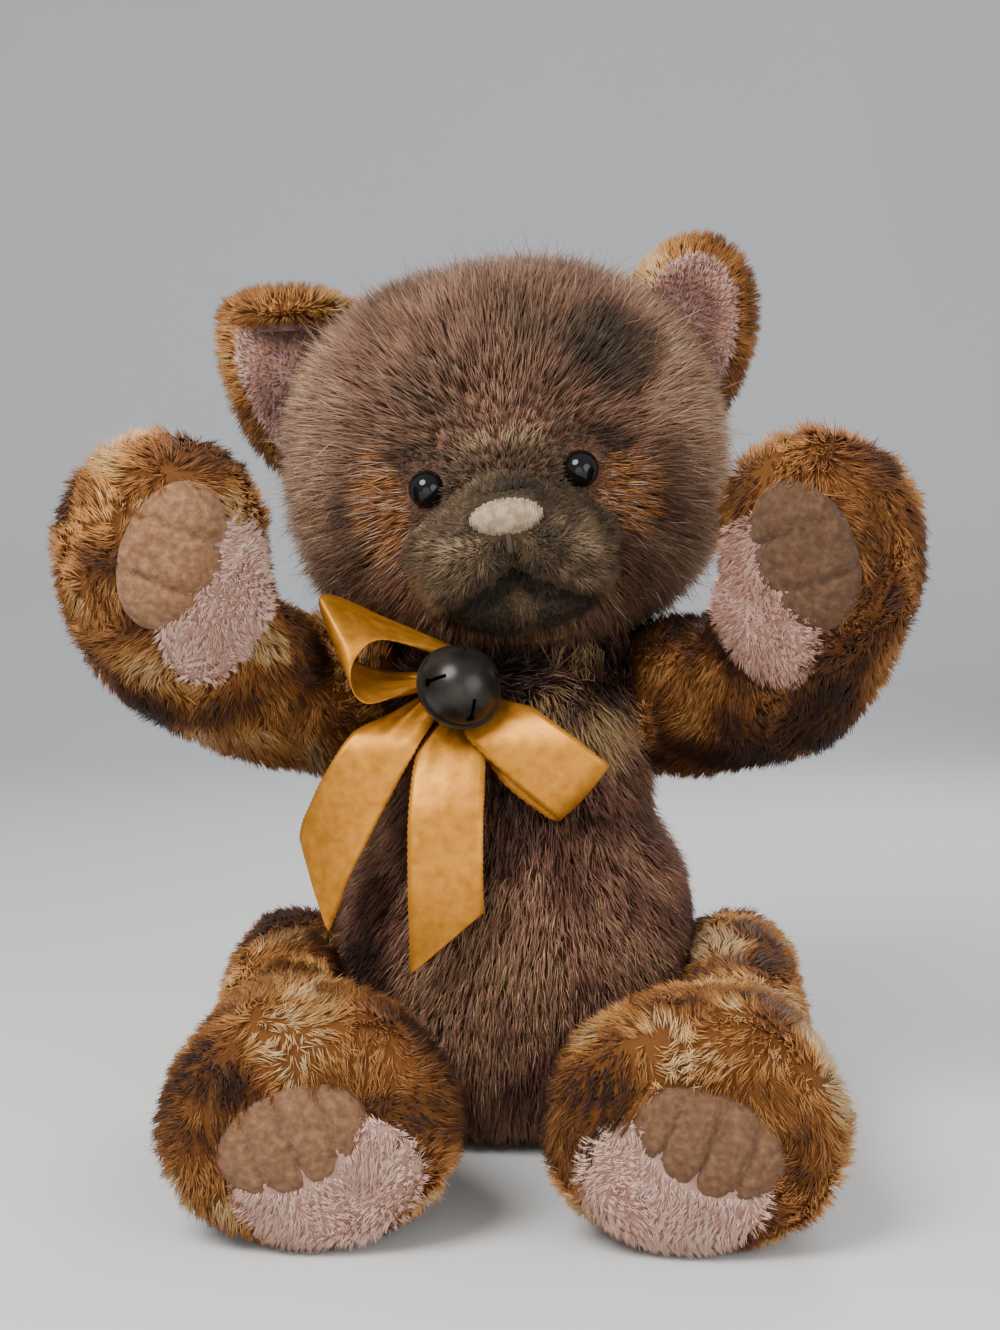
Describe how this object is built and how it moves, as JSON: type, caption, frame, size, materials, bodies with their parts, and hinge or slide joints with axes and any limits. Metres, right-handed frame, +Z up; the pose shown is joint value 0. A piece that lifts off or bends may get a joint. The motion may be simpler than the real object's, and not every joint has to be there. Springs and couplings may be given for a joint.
{
  "type": "jointed teddy bear",
  "caption": "Seated plush teddy bear with disc-jointed head, arms and legs, ribbon bow and a jingle bell.",
  "frame": {"origin": "centre of the footprint of the whole bear, on the surface it sits on", "axes": "+Z up; the bear looks along -Y, so its own left side is on +X"},
  "size_m": [0.2817, 0.2358, 0.3259],
  "materials": {
    "long_pile_fur": "long pile, frosted tips",
    "torso_fur": "long pile, frosted tips",
    "limb_plush": "short mottled plush",
    "ear_plush": "short plush with light tips",
    "pink_plush": "short tufted pile",
    "ear_lining_plush": "short tufted pile",
    "muzzle_pile": "short pile, light tips",
    "chin_pile": "short pile",
    "suede": "brushed suede cloth",
    "embroidery": "satin-stitched thread",
    "mouth_thread": "thread",
    "eye_glaze": "high gloss",
    "satin_ribbon": "satin with picot edge",
    "bell_metal": "aged bronze, soft gloss",
    "pellet_metal": "rough",
    "stuffing": "polyester fibre",
    "pellet_bag_cloth": "woven bag of plastic pellets",
    "joint_board": "hardboard",
    "washer_steel": "plain",
    "white_plastic": "plain"
  },
  "bodies": {
    "torso": {"body_skin": "torso_fur", "body_stuffing": "stuffing", "pellet_bag": "pellet_bag_cloth", "neck_washer": "joint_board", "shoulder_washer_right": "joint_board", "shoulder_washer_left": "joint_board", "hip_washer_right": "joint_board", "hip_washer_left": "joint_board", "ribbon_neckband": "satin_ribbon", "ribbon_knot": "satin_ribbon", "bow_loop_right": "satin_ribbon", "bow_loop_left": "satin_ribbon", "ribbon_tail_right": "satin_ribbon", "ribbon_tail_left": "satin_ribbon"},
    "head": {"head_skin": "long_pile_fur", "head_stuffing": "stuffing", "muzzle": "muzzle_pile", "chin": "chin_pile", "nose": "embroidery", "mouth_stitch": "mouth_thread", "eye_right": "eye_glaze", "eye_left": "eye_glaze", "eye_washer_right": "white_plastic", "eye_washer_left": "white_plastic", "ear_back_right": "ear_plush", "ear_back_left": "ear_plush", "ear_lining_right": "ear_lining_plush", "ear_lining_left": "ear_lining_plush", "neck_joint_disc": "joint_board", "neck_lock_washer": "washer_steel"},
    "arm_right": {"arm_skin_right": "limb_plush", "arm_stuffing_right": "stuffing", "palm_pad_right": "pink_plush", "finger_pad_right": "suede", "shoulder_joint_disc_right": "joint_board", "shoulder_lock_washer_right": "washer_steel"},
    "arm_left": {"arm_skin_left": "limb_plush", "arm_stuffing_left": "stuffing", "palm_pad_left": "pink_plush", "finger_pad_left": "suede", "shoulder_joint_disc_left": "joint_board", "shoulder_lock_washer_left": "washer_steel"},
    "leg_right": {"leg_skin_right": "limb_plush", "leg_stuffing_right": "stuffing", "heel_pad_right": "pink_plush", "toe_pad_right": "suede", "hip_joint_disc_right": "joint_board", "hip_lock_washer_right": "washer_steel"},
    "leg_left": {"leg_skin_left": "limb_plush", "leg_stuffing_left": "stuffing", "heel_pad_left": "pink_plush", "toe_pad_left": "suede", "hip_joint_disc_left": "joint_board", "hip_lock_washer_left": "washer_steel"},
    "bell": {"bell_front_shell": "bell_metal", "bell_back_shell": "bell_metal", "bell_shank": "bell_metal"},
    "bell_pellet": {"bell_pellet": "pellet_metal"}
  },
  "joints": [
    {"name": "neck_swivel", "type": "hinge", "parent": "torso", "child": "head", "pos_m": [0.0127, 0.0519, 0.178], "axis": [-0.1305, 0, 0.9914], "range_deg": [-20, 20]},
    {"name": "shoulder_right_swing", "type": "hinge", "parent": "torso", "child": "arm_right", "pos_m": [-0.03645, 0.0489, 0.154], "axis": [1, 0, 0], "range_deg": [-10, 45]},
    {"name": "shoulder_left_swing", "type": "hinge", "parent": "torso", "child": "arm_left", "pos_m": [0.05185, 0.0489, 0.154], "axis": [1, 0, 0], "range_deg": [-10, 45]},
    {"name": "hip_right_swing", "type": "hinge", "parent": "torso", "child": "leg_right", "pos_m": [-0.05445, 0.0439, 0.042], "axis": [1, 0, 0], "range_deg": [-20, 90]},
    {"name": "hip_left_swing", "type": "hinge", "parent": "torso", "child": "leg_left", "pos_m": [0.06985, 0.0439, 0.042], "axis": [1, 0, 0], "range_deg": [-20, 90]},
    {"name": "bell_swing", "type": "hinge", "parent": "torso", "child": "bell", "pos_m": [-0.01531, -0.0112, 0.15786], "axis": [0.9063, 0.4226, 0], "range_deg": [-12, 12]},
    {"name": "bell_rattle", "type": "slide", "parent": "bell", "child": "bell_pellet", "axis": [0.383, -0.8214, 0.4226], "range_m": [0, 0.012]}
  ]
}
